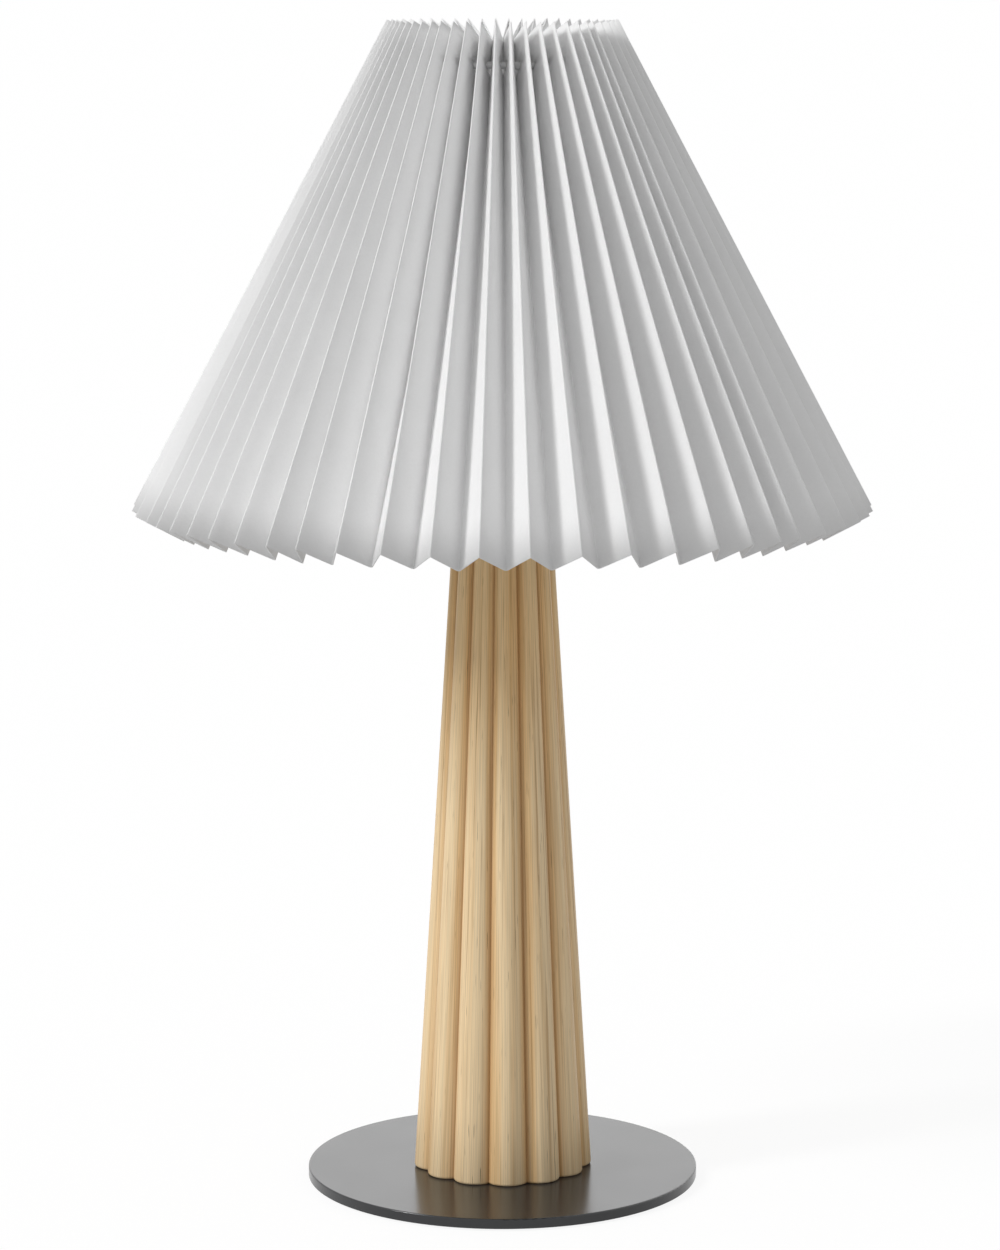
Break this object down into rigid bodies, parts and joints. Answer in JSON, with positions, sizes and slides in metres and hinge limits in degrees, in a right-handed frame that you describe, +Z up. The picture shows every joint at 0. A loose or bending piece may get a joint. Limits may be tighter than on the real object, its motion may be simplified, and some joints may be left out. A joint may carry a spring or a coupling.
{
  "type": "table lamp",
  "caption": "Table lamp with a reeded, tapering wooden column on a round steel plate, an E27 holder with a bulb, and a conical pleated shade on a wire carrier.",
  "frame": {"origin": "centre of the base on the table surface, under the foot pad", "axes": "+Z up along the column, -Y towards the front of the pictured view, +X to its right"},
  "size_m": [0.3004, 0.2998, 0.475],
  "materials": {
    "foot_pad": "dark closed-cell foam pad",
    "powder_coat": "dark grey satin powder coat",
    "pale_wood": "pale straight-grained wood, matt lacquer",
    "zinc_steel": "zinc plated steel",
    "brass": "bright brass",
    "bush_plastic": "black moulded plastic",
    "holder_plastic": "white moulded plastic",
    "holder_ceramic": "unglazed white ceramic",
    "carrier_steel": "grey painted steel wire and sheet",
    "shade_sheet": "white translucent laminated paper, sharp pleats",
    "bulb_metal": "bare aluminium screw cap",
    "bulb_white": "white plastic housing",
    "bulb_opal": "opal plastic diffuser",
    "bulb_black": "black glass-like insulator",
    "board_white": "white circuit board"
  },
  "bodies": {
    "stand": {"base_pad": "foot_pad", "base_plate": "powder_coat", "plate_screws": "zinc_steel", "column": "pale_wood", "cable_bush": "bush_plastic", "threaded_tube": "zinc_steel", "foot_washer": "zinc_steel", "foot_nut": "zinc_steel", "top_washer": "zinc_steel", "top_nut": "zinc_steel", "holder_cap": "holder_plastic", "lock_screw": "zinc_steel", "holder_insert": "holder_ceramic", "side_contact": "brass", "centre_contact": "brass", "terminal_screws": "brass", "holder_skirt": "holder_plastic", "ring_nut": "holder_plastic", "carrier_collar": "carrier_steel", "carrier_legs": "carrier_steel", "carrier_ring": "carrier_steel"},
    "shade": {"pleated_shade": "shade_sheet"},
    "bulb_core": {"bulb_button": "brass", "bulb_insulator": "bulb_black"},
    "bulb": {"bulb_cap": "bulb_metal", "bulb_housing": "bulb_white", "led_board": "board_white", "bulb_dome": "bulb_opal"}
  },
  "joints": [
    {"name": "shade_turn", "type": "hinge", "parent": "stand", "child": "shade", "pos_m": [0, 0, 0.4578], "axis": [0, 0, 1], "continuous": true},
    {"name": "bulb_rise", "type": "slide", "parent": "stand", "child": "bulb_core", "axis": [0, 0, 1], "range_m": [0, 0.0182]},
    {"name": "bulb_turn", "type": "hinge", "parent": "bulb_core", "child": "bulb", "pos_m": [0, 0, 0.3376], "axis": [0, 0, 1], "range_deg": [0, 1800]}
  ],
  "couplings": [
    {"joint": "bulb_rise", "follows": "bulb_turn", "m_per_rad": 0.00057751}
  ]
}
